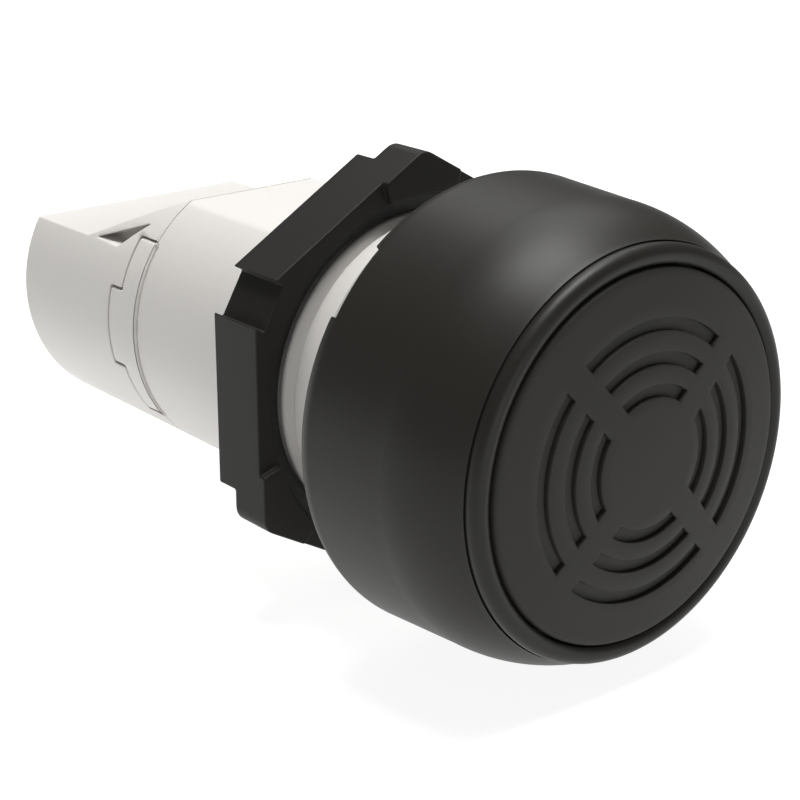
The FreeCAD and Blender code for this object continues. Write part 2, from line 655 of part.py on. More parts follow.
def make_leads():
    """The two insulated wires from the piezo disc to the circuit board."""
    down = BOARD_TOP_Z + SEAT_GAP + LEAD_R
    plate_y = PIEZO_REAR + SEAT_GAP + LEAD_R
    ceramic_y = plate_y + CERAMIC_THICK + SEAT_GAP
    end_y = BOARD_START + 3.4
    return {
        "lead_ceramic": lead([(-3.0, ceramic_y, 4.0), (-3.0, BOARD_START - 0.9, 3.2),
                              (-3.0, BOARD_START + 1.2, down), (-3.0, end_y, down)]),
        "lead_plate": lead([(4.0, plate_y, 8.4), (4.0, BOARD_START - 1.2, 6.0),
                            (4.0, BOARD_START + 1.2, down), (4.0, end_y, down)]),
    }


def build():
    """Every node of the buzzer by name."""
    nodes = {
        "head_shell": make_head_shell(),
        "rim_ring": make_rim_ring(),
        "grille_disc": make_grille_disc(),
        "front_housing": make_front_housing(),
        "lock_washer": make_lock_washer(),
        "fixing_nut": make_fixing_nut(),
        "rear_cap": make_rear_cap(),
        "terminal_block": make_terminal_block(),
    }
    nodes.update(make_sounder())
    nodes.update(make_seals())
    nodes.update(make_board())
    nodes.update(make_leads())
    for side, name in ((-1, "left"), (1, "right")):
        nodes["terminal_" + name] = make_terminal(side)
        nodes["wire_clamp_" + name] = make_wire_clamp(side)
        nodes["terminal_screw_" + name] = make_terminal_screw(side)
    return nodes


os.makedirs("parts", exist_ok=True)
for name, shape in build().items():
    shape.exportStep("parts/" + name + ".step")
    print(name, "valid", shape.isValid(), "solids", len(shape.Solids), round(shape.Volume, 2))
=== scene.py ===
"""Visual model of a panel buzzer with a slotted grille, fixing nut and screw terminals."""

import json
import logging
import math
from dataclasses import dataclass, field
from enum import Enum
from typing import Iterable, Sequence

import bmesh
import bpy
from mathutils import Matrix, Vector

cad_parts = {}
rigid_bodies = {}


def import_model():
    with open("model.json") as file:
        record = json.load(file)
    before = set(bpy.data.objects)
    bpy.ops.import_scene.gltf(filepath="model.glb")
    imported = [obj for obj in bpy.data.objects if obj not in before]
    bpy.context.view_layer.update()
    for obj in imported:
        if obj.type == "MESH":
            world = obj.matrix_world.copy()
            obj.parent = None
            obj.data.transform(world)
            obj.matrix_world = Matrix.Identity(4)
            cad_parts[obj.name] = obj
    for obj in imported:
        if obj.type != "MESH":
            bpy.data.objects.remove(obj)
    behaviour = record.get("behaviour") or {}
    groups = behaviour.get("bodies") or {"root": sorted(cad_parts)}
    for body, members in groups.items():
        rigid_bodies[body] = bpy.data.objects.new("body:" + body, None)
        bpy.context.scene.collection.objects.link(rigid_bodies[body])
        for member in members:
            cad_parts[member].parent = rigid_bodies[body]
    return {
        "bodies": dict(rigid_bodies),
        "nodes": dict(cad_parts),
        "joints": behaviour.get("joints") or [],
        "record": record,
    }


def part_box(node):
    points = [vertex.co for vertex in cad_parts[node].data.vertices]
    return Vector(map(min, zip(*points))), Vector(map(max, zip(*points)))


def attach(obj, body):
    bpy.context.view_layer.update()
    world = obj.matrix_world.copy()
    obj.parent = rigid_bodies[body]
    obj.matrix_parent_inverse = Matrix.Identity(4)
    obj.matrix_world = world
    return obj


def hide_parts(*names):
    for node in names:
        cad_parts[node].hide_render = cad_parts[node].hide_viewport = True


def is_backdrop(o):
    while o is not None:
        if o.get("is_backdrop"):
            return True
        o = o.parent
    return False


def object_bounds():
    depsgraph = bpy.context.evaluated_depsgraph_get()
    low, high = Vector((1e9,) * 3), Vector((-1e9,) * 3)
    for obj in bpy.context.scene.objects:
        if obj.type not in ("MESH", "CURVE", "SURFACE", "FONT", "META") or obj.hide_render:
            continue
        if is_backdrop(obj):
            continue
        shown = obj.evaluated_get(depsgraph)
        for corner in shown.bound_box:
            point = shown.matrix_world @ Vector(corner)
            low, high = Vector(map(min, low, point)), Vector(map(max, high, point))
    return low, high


LOG = logging.getLogger("panel_buzzer")
MM = 0.001
Colour = tuple[float, float, float]
Point = tuple[float, float]
Outline = list[Point]

DUST: Colour = (0.45, 0.43, 0.4)
WHITE = (1.0, 1.0, 1.0, 1.0)
WEAR_START = 0.505
REACH_SHARE = 0.45
SAME_PLACE = 1e-8
WELD_REACH = 2e-6
FLAT_DEG = 0.4
NORMAL_WEIGHT = 80
BEVEL_SEGMENTS = 2
CUT_PAST = 1.0


class Texture(Enum):
    """The surface textures that the shared node groups make."""

    MOULDED = "moulded_texture"
    TURNED = "turned_texture"
    FELTED = "felted_texture"
    WOUND = "wound_texture"
    TRACKS = "track_texture"


def set_inputs(node: bpy.types.Node, values: dict[str, object]) -> None:
    """Sets the values of a node's inputs by name."""
    for name, value in values.items():
        node.inputs[name].default_value = value


class Group:
    """One shader node group under construction, with named inputs and outputs."""

    def __init__(self, name: str, inputs: Iterable[tuple[str, float]], outputs: Iterable[str]) -> None:
        """Makes the group and its sockets.

        Args:
            name: Name of the group.
            inputs: Name and default of each input value.
            outputs: Name of each output value.
        """
        self.tree = bpy.data.node_groups.new(name, "ShaderNodeTree")
        for label, default in inputs:
            socket = self.tree.interface.new_socket(label, in_out="INPUT", socket_type="NodeSocketFloat")
            socket.default_value = default
        for label in outputs:
            self.tree.interface.new_socket(label, in_out="OUTPUT", socket_type="NodeSocketFloat")
        self.entry = self.tree.nodes.new("NodeGroupInput")
        self.exit = self.tree.nodes.new("NodeGroupOutput")

    def node(self, kind: str, **settings: object) -> bpy.types.Node:
        """Adds a node and sets its properties.

        Args:
            kind: Type name of the node.
            settings: Properties to set on it.

        Returns:
            The new node.
        """
        made = self.tree.nodes.new(kind)
        for key, value in settings.items():
            setattr(made, key, value)
        return made

    def link(self, source: bpy.types.NodeSocket, target: bpy.types.NodeSocket) -> None:
        """Joins two sockets."""
        self.tree.links.new(source, target)

    def maths(self, operation: str, first: object, second: object) -> bpy.types.NodeSocket:
        """Adds a maths node on two sockets or numbers.

        Args:
            operation: Name of the operation.
            first: Socket or number on the first input.
            second: Socket or number on the second input.

        Returns:
            The output socket of the node.
        """
        made = self.node("ShaderNodeMath", operation=operation)
        for value, target in zip((first, second), made.inputs):
            self.feed(value, target)
        return made.outputs[0]

    def weighted(self, first: object, share: float, second: object, rest: float) -> bpy.types.NodeSocket:
        """Adds two values, each times its own share."""
        return self.maths("ADD", self.maths("MULTIPLY", first, share), self.maths("MULTIPLY", second, rest))

    def noise(self, scale: object, detail: float, vector: object = None) -> bpy.types.NodeSocket:
        """Adds a noise texture in the object's own space.

        Args:
            scale: Socket or number for the scale, per metre.
            detail: Octaves of detail.
            vector: Socket for the coordinates, or None for object coordinates.

        Returns:
            The noise value socket.
        """
        made = self.node("ShaderNodeTexNoise")
        made.inputs["Detail"].default_value = detail
        self.feed(scale, made.inputs["Scale"])
        self.link(vector or self.place(), made.inputs["Vector"])
        return made.outputs["Fac"]

    def feed(self, value: object, target: bpy.types.NodeSocket) -> None:
        """Sets a number on a socket, or links a socket to it."""
        if isinstance(value, (int, float)):
            target.default_value = value
        else:
            self.link(value, target)

    def place(self) -> bpy.types.NodeSocket:
        """Adds object coordinates and returns their socket."""
        return self.node("ShaderNodeTexCoord").outputs["Object"]

    def span(self, value: bpy.types.NodeSocket, low: float, high: float) -> bpy.types.NodeSocket:
        """Stretches the part of a value between low and high to the range 0 to 1.

        Args:
            value: Socket to stretch.
            low: Value that becomes 0.
            high: Value that becomes 1.

        Returns:
            The clamped output socket.
        """
        made = self.node("ShaderNodeMapRange")
        set_inputs(made, {"From Min": low, "From Max": high})
        self.link(value, made.inputs["Value"])
        return made.outputs["Result"]


class GroupShelf:
    """Builds each shared effect once and hands it out by name."""

    def __init__(self) -> None:
        """Builds every group."""
        self.groups: dict[str, bpy.types.NodeTree] = {}
        self.make_moulded()
        self.make_turned()
        self.make_felted()
        self.make_wound()
        self.make_tracks()
        self.make_edge_wear()
        self.make_settled_dust()

    def surface(self, texture: Texture, scale: float = 4000.0) -> Group:
        """Starts a texture group with a height and a tone, at a scale per metre."""
        return Group(texture.value, [("Scale", scale)], ["Height", "Tone"])

    def keep(self, group: Group, ends: Sequence[bpy.types.NodeSocket]) -> None:
        """Links the group's outputs in order and keeps it on the shelf."""
        for value, target in zip(ends, group.exit.inputs):
            group.link(value, target)
        self.groups[group.tree.name] = group.tree

    def make_moulded(self) -> None:
        """Spark-eroded mould texture: fine pits and grains over slow flow patches."""
        g = self.surface(Texture.MOULDED)
        scale = g.entry.outputs["Scale"]
        grain = g.noise(scale, 3.0)
        pits = g.node("ShaderNodeTexVoronoi", feature="SMOOTH_F1")
        g.link(g.place(), pits.inputs["Vector"])
        g.link(g.maths("MULTIPLY", scale, 0.6), pits.inputs["Scale"])
        height = g.weighted(grain, 0.7, pits.outputs["Distance"], 0.5)
        flow = g.noise(g.maths("MULTIPLY", scale, 0.03), 2.0)
        fine = g.noise(g.maths("MULTIPLY", scale, 0.5), 2.0)
        tone = g.weighted(flow, 0.6, fine, 0.4)
        self.keep(g, [height, g.span(tone, 0.3, 0.7)])

    def make_turned(self) -> None:
        """Fine tool marks and scratches of worked metal."""
        g = self.surface(Texture.TURNED)
        scale = g.entry.outputs["Scale"]
        stretch = g.node("ShaderNodeMapping")
        stretch.inputs["Scale"].default_value = (1.0, 12.0, 12.0)
        g.link(g.place(), stretch.inputs["Vector"])
        marks = g.noise(g.maths("MULTIPLY", scale, 0.2), 4.0, stretch.outputs["Vector"])
        cloud = g.noise(g.maths("MULTIPLY", scale, 0.08), 3.0)
        tone = g.weighted(marks, 0.5, cloud, 0.5)
        self.keep(g, [marks, g.span(tone, 0.3, 0.7)])

    def make_felted(self) -> None:
        """Matted fibres that cross each other."""
        g = self.surface(Texture.FELTED)
        scale = g.entry.outputs["Scale"]
        layers = []
        for turn in (0.3, 1.4, 2.5):
            lay = g.node("ShaderNodeMapping")
            set_inputs(lay, {"Rotation": (0.0, turn, 0.0), "Scale": (1.0, 1.0, 9.0)})
            g.link(g.place(), lay.inputs["Vector"])
            layers.append(g.noise(g.maths("MULTIPLY", scale, 0.35), 3.0, lay.outputs["Vector"]))
        height = g.maths("MAXIMUM", g.maths("MAXIMUM", layers[0], layers[1]), layers[2])
        self.keep(g, [height, g.span(height, 0.4, 0.75)])

    def make_wound(self) -> None:
        """Turns of fine wire stacked along Z."""
        g = self.surface(Texture.WOUND)
        turns = g.node("ShaderNodeTexWave", bands_direction="Z")
        turns.inputs["Distortion"].default_value = 0.4
        g.link(g.place(), turns.inputs["Vector"])
        g.link(g.entry.outputs["Scale"], turns.inputs["Scale"])
        lustre = g.noise(g.maths("MULTIPLY", g.entry.outputs["Scale"], 0.4), 2.0)
        tone = g.weighted(turns.outputs["Fac"], 0.6, lustre, 0.4)
        self.keep(g, [turns.outputs["Fac"], tone])

    def make_tracks(self) -> None:
        """Copper tracks that stand under solder resist, in squared runs."""
        g = self.surface(Texture.TRACKS, 600.0)
        runs = g.node("ShaderNodeTexVoronoi", feature="DISTANCE_TO_EDGE", distance="CHEBYCHEV")
        runs.inputs["Randomness"].default_value = 0.55
        g.link(g.place(), runs.inputs["Vector"])
        g.link(g.entry.outputs["Scale"], runs.inputs["Scale"])
        track = g.span(runs.outputs["Distance"], 0.16, 0.1)
        cloth = g.noise(g.maths("MULTIPLY", g.entry.outputs["Scale"], 6.0), 2.0)
        height = g.maths("ADD", track, g.maths("MULTIPLY", cloth, 0.15))
        self.keep(g, [height, g.maths("MULTIPLY", track, 0.8)])

    def make_edge_wear(self) -> None:
        """Mask of convex edges, broken up so that it never runs as an even line."""
        g = Group("edge_wear", [("Reach", 0.04), ("Breakup", 1500.0)], ["Mask"])
        point = g.node("ShaderNodeNewGeometry").outputs["Pointiness"]
        over = g.maths("SUBTRACT", point, WEAR_START)
        mask = g.maths("DIVIDE", over, g.entry.outputs["Reach"])
        broken = g.span(g.noise(g.entry.outputs["Breakup"], 4.0), 0.35, 0.65)
        worn = g.maths("MULTIPLY", mask, broken)
        self.keep(g, [g.span(worn, 0.0, 1.0)])

    def make_settled_dust(self) -> None:
        """Mask of faces that look up, where a little dust settles."""
        g = Group("settled_dust", [("Breakup", 900.0)], ["Mask"])
        normal = g.node("ShaderNodeSeparateXYZ")
        g.link(g.node("ShaderNodeNewGeometry").outputs["Normal"], normal.inputs[0])
        up = g.span(normal.outputs["Z"], 0.4, 1.0)
        specks = g.span(g.noise(g.entry.outputs["Breakup"], 5.0), 0.45, 0.75)
        self.keep(g, [g.maths("MULTIPLY", up, specks)])


@dataclass(frozen=True)
class Finish:
    """The finish of one material: its colours, gloss and texture.

    Attributes:
        colour: Main colour, linear.
        patch: Colour of the slow patches and of the texture's low parts.
        edge: Colour that edges go to where they are handled.
        gloss: Lowest and highest roughness.
        texture: Which texture group it has.
        scale: Scale of the texture, per metre.
        depth: Depth of the texture in millimetres.
        metallic: 1 for bare metal.
        specular: Specular level.
        wear: How much of the edge colour shows.
        dust: How much settled dust shows.
        coat: Weight of a clear coat.
    """

    colour: Colour
    patch: Colour
    edge: Colour
    gloss: tuple[float, float]
    texture: Texture = Texture.MOULDED
    scale: float = 4000.0
    depth: float = 0.004
    metallic: float = 0.0
    specular: float = 0.5
    wear: float = 0.3
    dust: float = 0.04
    coat: float = 0.0

    def material(self, name: str, shelf: GroupShelf) -> bpy.types.Material:
        """Builds the material.

        Args:
            name: Name of the material.
            shelf: The shared node groups.

        Returns:
            The new material.
        """
        made = bpy.data.materials.new(name)
        made.use_nodes = True
        tree = made.node_tree
        shader = tree.nodes["Principled BSDF"]
        values = {"Metallic": self.metallic, "Specular IOR Level": self.specular, "Coat Weight": self.coat}
        set_inputs(shader, values)
        surface = self.place_group(tree, shelf, self.texture.value)
        surface.inputs["Scale"].default_value = self.scale
        worn = self.place_group(tree, shelf, "edge_wear")
        dusty = self.place_group(tree, shelf, "settled_dust")
        base = self.blend(tree, surface.outputs["Tone"], 1.0, self.colour, self.patch)
        edged = self.blend(tree, worn.outputs["Mask"], self.wear, base, self.edge)
        shown = self.blend(tree, dusty.outputs["Mask"], self.dust, edged, DUST)
        tree.links.new(shown, shader.inputs["Base Color"])
        rough = tree.nodes.new("ShaderNodeMapRange")
        set_inputs(rough, {"To Min": self.gloss[0], "To Max": self.gloss[1]})
        tree.links.new(surface.outputs["Tone"], rough.inputs["Value"])
        tree.links.new(rough.outputs["Result"], shader.inputs["Roughness"])
        bump = tree.nodes.new("ShaderNodeBump")
        set_inputs(bump, {"Strength": 1.0, "Distance": self.depth * MM})
        tree.links.new(surface.outputs["Height"], bump.inputs["Height"])
        tree.links.new(bump.outputs["Normal"], shader.inputs["Normal"])
        return made

    def place_group(self, tree: bpy.types.NodeTree, shelf: GroupShelf, name: str) -> bpy.types.Node:
        """Places one shared group in a material's tree and returns its node."""
        node = tree.nodes.new("ShaderNodeGroup")
        node.node_tree = shelf.groups[name]
        return node

    def blend(
        self,
        tree: bpy.types.NodeTree,
        mask: bpy.types.NodeSocket,
        amount: float,
        low: object,
        high: Colour,
    ) -> bpy.types.NodeSocket:
        """Mixes two colours by a mask.

        Args:
            tree: The material's tree.
            mask: Socket of the mask.
            amount: Share of the mask that counts.
            low: Colour or colour socket where the mask is 0.
            high: Colour where the mask is 1.

        Returns:
            The mixed colour socket.
        """
        if amount < 1.0:
            share = tree.nodes.new("ShaderNodeMath")
            share.operation = "MULTIPLY"
            share.inputs[1].default_value = amount
            tree.links.new(mask, share.inputs[0])
            mask = share.outputs[0]
        mix = tree.nodes.new("ShaderNodeMix")
        mix.data_type = "RGBA"
        tree.links.new(mask, mix.inputs["Factor"])
        colours = [s for s in mix.inputs if s.type == "RGBA"]
        if isinstance(low, tuple):
            colours[0].default_value = (*low, 1.0)
        else:
            tree.links.new(low, colours[0])
        colours[1].default_value = (*high, 1.0)
        return [s for s in mix.outputs if s.type == "RGBA"][0]


FINISHES: dict[str, Finish] = {
    "head_black": Finish(
        (0.0165, 0.0156, 0.0132), (0.0175, 0.0166, 0.0141), (0.05, 0.048, 0.043), (0.41, 0.44),
        depth=0.002, specular=0.2, wear=0.04, dust=0.003,
    ),
    "rim_black": Finish(
        (0.0145, 0.0137, 0.0116), (0.0155, 0.0147, 0.0125), (0.05, 0.048, 0.043), (0.38, 0.41),
        depth=0.0018, specular=0.2, wear=0.04, dust=0.003,
    ),
    "grille_black": Finish(
        (0.0205, 0.0195, 0.0166), (0.0222, 0.0211, 0.0181), (0.06, 0.058, 0.053), (0.56, 0.62),
        scale=5200.0, depth=0.0035, specular=0.22, wear=0.04, dust=0.003,
    ),
    "nut_black": Finish(
        (0.0138, 0.013, 0.0113), (0.0145, 0.0137, 0.0119), (0.055, 0.053, 0.048), (0.5, 0.53),
        scale=2600.0, depth=0.004, specular=0.18, wear=0.015, dust=0.003,
    ),
    "washer_black": Finish((0.012, 0.012, 0.0115), (0.016, 0.016, 0.015), (0.05, 0.05, 0.05), (0.5, 0.6)),
    "body_grey": Finish(
        (0.625, 0.605, 0.578), (0.61, 0.59, 0.563), (0.70, 0.68, 0.65), (0.46, 0.52),
        scale=3600.0, depth=0.002, wear=0.04, dust=0.0,
    ),
    "gasket_grey": Finish((0.42, 0.415, 0.40), (0.38, 0.375, 0.36), (0.5, 0.5, 0.48), (0.7, 0.8), depth=0.008),
    "seal_black": Finish((0.012, 0.012, 0.012), (0.02, 0.02, 0.02), (0.04, 0.04, 0.04), (0.45, 0.6)),
    # Painted light: the membrane is coloured lighter than the grille so that it offsets the shade it lies in behind
    # the slots.
    "membrane_grey": Finish(
        (0.026, 0.0248, 0.0212), (0.031, 0.0295, 0.0255), (0.03, 0.03, 0.03), (0.8, 0.9),
        Texture.FELTED, 9000.0, 0.01, dust=0.0,
    ),
    "chamber_black": Finish((0.018, 0.018, 0.018), (0.024, 0.024, 0.024), (0.05, 0.05, 0.05), (0.5, 0.6)),
    "disc_brass": Finish(
        (0.72, 0.52, 0.22), (0.62, 0.43, 0.18), (0.8, 0.62, 0.3), (0.22, 0.36), Texture.TURNED, metallic=1.0
    ),
    "ceramic_silver": Finish((0.7, 0.69, 0.66), (0.62, 0.6, 0.57), (0.75, 0.74, 0.7), (0.35, 0.5), scale=6000.0),
    "terminal_brass": Finish(
        (0.70, 0.53, 0.25), (0.58, 0.42, 0.19), (0.82, 0.66, 0.36), (0.24, 0.4), Texture.TURNED, metallic=1.0
    ),
    "steel_zinc": Finish(
        (0.60, 0.61, 0.62), (0.50, 0.51, 0.53), (0.72, 0.72, 0.73), (0.22, 0.38), Texture.TURNED, metallic=1.0
    ),
    "block_grey": Finish((0.34, 0.34, 0.335), (0.30, 0.30, 0.295), (0.45, 0.45, 0.44), (0.5, 0.6)),
    "board_green": Finish(
        (0.02, 0.13, 0.05), (0.035, 0.2, 0.08), (0.3, 0.25, 0.12), (0.22, 0.35), Texture.TRACKS, 420.0, 0.03, coat=0.4
    ),
    "chip_black": Finish((0.015, 0.015, 0.015), (0.02, 0.02, 0.02), (0.06, 0.06, 0.06), (0.5, 0.62), scale=7000.0),
    "can_silver": Finish(
        (0.72, 0.72, 0.73), (0.62, 0.62, 0.64), (0.8, 0.8, 0.8), (0.2, 0.34), Texture.TURNED, metallic=1.0
    ),
    "ferrite": Finish((0.05, 0.05, 0.055), (0.035, 0.035, 0.038), (0.12, 0.12, 0.12), (0.45, 0.6), depth=0.01),
    "copper_wire": Finish(
        (0.55, 0.20, 0.07), (0.75, 0.32, 0.13), (0.8, 0.4, 0.2), (0.2, 0.32),
        Texture.WOUND, 2600.0, 0.04, metallic=1.0,
    ),
    "lead_red": Finish((0.42, 0.015, 0.01), (0.36, 0.012, 0.008), (0.5, 0.05, 0.03), (0.4, 0.5)),
    "lead_black": Finish((0.012, 0.012, 0.012), (0.018, 0.018, 0.018), (0.04, 0.04, 0.04), (0.4, 0.5)),
    "chip_dark": Finish((0.03, 0.03, 0.03), (0.022, 0.022, 0.022), (0.5, 0.5, 0.5), (0.3, 0.45), wear=0.8),
}


class Wardrobe:
    """Hands out one material for each slot of the record."""

    def __init__(self) -> None:
        """Builds the shared groups."""
        self.shelf = GroupShelf()
        self.made: dict[str, bpy.types.Material] = {}

    def dress(self, piece: bpy.types.Object, slot: str) -> None:
        """Puts the finish of a record slot on a piece.

        Args:
            piece: The piece to dress.
            slot: Name of the material slot in the record.
        """
        if slot not in self.made:
            self.made[slot] = FINISHES[slot].material(slot + "_finish", self.shelf)
        if piece.data.materials:
            for i in range(len(piece.data.materials)):
                piece.data.materials[i] = self.made[slot]
        else:
            piece.data.materials.append(self.made[slot])


@dataclass(frozen=True)
class Corner:
    """A corner of a turned outline, in millimetres.

    Attributes:
        r: Distance from the axis.
        y: Place along the axis.
        round: Reach of the rounding on each side of the corner.
    """

    r: float
    y: float
    round: float = 0.0


def rounded(corners: Sequence[Corner], steps: int = 4) -> Outline:
    """Rounds the corners of a closed outline.

    Args:
        corners: The corners in order.
        steps: Segments in each rounding.

    Returns:
        The points of the rounded outline.
    """
    points: Outline = []
    for i, corner in enumerate(corners):
        here = Vector((corner.r, corner.y))
        if corner.round <= 0:
            points.append((here.x, here.y))
            continue
        before = Vector((corners[i - 1].r, corners[i - 1].y)) - here
        after_corner = corners[(i + 1) % len(corners)]
        after = Vector((after_corner.r, after_corner.y)) - here
        start = here + before.normalized() * min(corner.round, before.length * REACH_SHARE)
        end = here + after.normalized() * min(corner.round, after.length * REACH_SHARE)
        for k in range(steps + 1):
            t = k / steps
            p = start * (1 - t) ** 2 + here * 2 * t * (1 - t) + end * t**2
            points.append((p.x, p.y))
    return points


def arc(start: Point, through: Point, end: Point, steps: int) -> list[Corner]:
    """Points on the circular arc through three points.

    Args:
        start: First point, (r, y).
        through: A point on the arc.
        end: Last point.
        steps: Number of segments.

    Returns:
        The points, ends included, with no rounding.
    """
    ax, ay = start
    bx, by = through
    cx, cy = end
    d = 2 * (ax * (by - cy) + bx * (cy - ay) + cx * (ay - by))
    sa, sb, sc = ax * ax + ay * ay, bx * bx + by * by, cx * cx + cy * cy
    ux = (sa * (by - cy) + sb * (cy - ay) + sc * (ay - by)) / d
    uy = (sa * (cx - bx) + sb * (ax - cx) + sc * (bx - ax)) / d
    radius = math.hypot(ax - ux, ay - uy)
    first = math.atan2(ay - uy, ax - ux)
    sweep = math.atan2(cy - uy, cx - ux) - first
    middle = math.atan2(by - uy, bx - ux) - first
    sweep = (sweep + math.pi) % (2 * math.pi) - math.pi
    middle = (middle + math.pi) % (2 * math.pi) - math.pi
    if middle * sweep < 0:
        sweep -= math.copysign(2 * math.pi, sweep)
    turns = [first + sweep * k / steps for k in range(steps + 1)]
    return [Corner(ux + radius * math.cos(t), uy + radius * math.sin(t)) for t in turns]


def finish_mesh(name: str, bm: bmesh.types.BMesh, sharp: float = 38.0) -> bpy.types.Object:
    """Turns a bmesh into a smooth-shaded object with sharp edges kept.

    Args:
        name: Name of the object.
        bm: The mesh, which is freed.
        sharp: Edges bent more than this many degrees stay sharp.

    Returns:
        The new object, in the scene.
    """
    bmesh.ops.remove_doubles(bm, verts=bm.verts[:], dist=SAME_PLACE)
    bmesh.ops.recalc_face_normals(bm, faces=bm.faces[:])
    mesh = bpy.data.meshes.new(name)
    bm.to_mesh(mesh)
    bm.free()
    mesh.shade_smooth()
    mesh.set_sharp_from_angle(angle=math.radians(sharp))
    made = bpy.data.objects.new(name, mesh)
    bpy.context.scene.collection.objects.link(made)
    return made


def turned(name: str, outline: Outline, segments: int = 256) -> bpy.types.Object:
    """Turns a closed outline about the Y axis.

    Args:
        name: Name of the object.
        outline: (r, y) points in millimetres.
        segments: Segments round the axis.

    Returns:
        The new object.
    """
    bm = bmesh.new()
    rings = []
    for i in range(segments):
        a = 2 * math.pi * i / segments
        ca, sa = math.cos(a) * MM, math.sin(a) * MM
        rings.append([bm.verts.new((r * ca, y * MM, r * sa)) for r, y in outline])
    count = len(outline)
    for i in range(segments):
        here, there = rings[i], rings[(i + 1) % segments]
        for k in range(count):
            m = (k + 1) % count
            bm.faces.new((here[k], here[m], there[m], there[k]))
    return finish_mesh(name, bm)


def prism(name: str, points: Outline, start: float, end: float) -> bpy.types.Object:
    """Extrudes a flat outline along the Y axis.

    Args:
        name: Name of the object.
        points: (x, z) points of the outline in millimetres.
        start: Where it starts along Y, in millimetres.
        end: Where it ends.

    Returns:
        The new object.
    """
    bm = bmesh.new()
    front = [bm.verts.new((x * MM, start * MM, z * MM)) for x, z in points]
    rear = [bm.verts.new((x * MM, end * MM, z * MM)) for x, z in points]
    bm.faces.new(front)
    bm.faces.new(rear[::-1])
    for k in range(len(points)):
        m = (k + 1) % len(points)
        bm.faces.new((front[m], front[k], rear[k], rear[m]))
    return finish_mesh(name, bm, 30.0)


def circle(radius: float, segments: int) -> Outline:
    """The (x, z) points of a circle round the axis."""
    turns = [2 * math.pi * (k + 0.5) / segments for k in range(segments)]
    return [(radius * math.cos(t), radius * math.sin(t)) for t in turns]


def sweep(radius: float, start: float, end: float, steps: int = 24) -> Outline:
    """The (x, z) points on a circle round the axis, between two angles in degrees."""
    turns = [math.radians(start + (end - start) * k / steps) for k in range(steps + 1)]
    return [(radius * math.cos(t), radius * math.sin(t)) for t in turns]


def combine(piece: bpy.types.Object, tool: bpy.types.Object, how: str) -> None:
    """Joins a tool to a piece or cuts it out, and removes the tool.

    Args:
        piece: The piece, whose mesh is replaced by the result.
        tool: The other object.
        how: "UNION" or "DIFFERENCE".
    """
    step = piece.modifiers.new(tool.name, "BOOLEAN")
    step.operation = how
    step.solver = "EXACT"
    step.object = tool
    apply_modifiers(piece)
    bpy.data.objects.remove(tool)


def apply_modifiers(piece: bpy.types.Object) -> None:
    """Applies every modifier of a piece to its mesh."""
    graph = bpy.context.evaluated_depsgraph_get()
    bpy.context.view_layer.update()
    mesh = bpy.data.meshes.new_from_object(piece.evaluated_get(graph))
    piece.modifiers.clear()
    piece.data = mesh


def soften(node: bpy.types.Object, width: float, angle: float = 32.0, clamp: bool = True) -> None:
    """Gives a carried-over piece rounded edges with modifiers and leaves its own mesh as it is.

    Args:
        node: The piece.
        width: Width of the rounding in millimetres.
        angle: Edges bent more than this many degrees are rounded.
        clamp: Whether a rounding is narrowed where its edges are short.
    """
    weld = node.modifiers.new("join_faces", "WELD")
    weld.merge_threshold = WELD_REACH
    plane = node.modifiers.new("flat_faces", "DECIMATE")
    plane.decimate_type = "DISSOLVE"
    plane.angle_limit = math.radians(FLAT_DEG)
    bevel = node.modifiers.new("rounded_edges", "BEVEL")
    bevel.width = width * MM
    bevel.segments = BEVEL_SEGMENTS
    bevel.limit_method = "ANGLE"
    bevel.angle_limit = math.radians(angle)
    bevel.use_clamp_overlap = clamp
    bevel.miter_outer = "MITER_ARC"
    bevel.harden_normals = False
    smooth = node.modifiers.new("even_shading", "WEIGHTED_NORMAL")
    smooth.keep_sharp = False
    smooth.weight = NORMAL_WEIGHT


@dataclass
class Assembly:
    """What every sub-assembly shares: the frame, the wardrobe and how its pieces are dressed."""

    frame: dict
    wardrobe: Wardrobe

    def __post_init__(self) -> None:
        """Takes the nodes and slots from the frame."""
        self.nodes: dict[str, bpy.types.Object] = self.frame["nodes"]
        self.slots = {part["node"]: part["material_slot"] for part in self.frame["record"]["subparts"]}

    def carry(self, name: str, width: float, clamp: bool = True) -> None:
        """Dresses a piece whose shape is right and rounds its edges.

        Args:
            name: Name of the piece.
            width: Width of the edge rounding in millimetres.
            clamp: Whether the rounding is narrowed where its edges are short.
        """
        node = self.nodes[name]
        self.wardrobe.dress(node, self.slots[name])
        if width > 0:
            soften(node, width, clamp=clamp)
        LOG.info("%s keeps its shape, finish %s", name, self.slots[name])

    def stand_for(self, piece: bpy.types.Object, name: str, body: str) -> None:
        """Dresses a detailed piece and puts it in place of a plain one.

        Args:
            piece: The detailed piece.
            name: Name of the piece it stands for.
            body: Name of the body it rides on.
        """
        slot = self.slots[name]
        self.wardrobe.dress(piece, slot)
        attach(piece, body)
        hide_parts(name)
        LOG.info("%s stands for %s, finish %s, %d faces", piece.name, name, slot, len(piece.data.polygons))


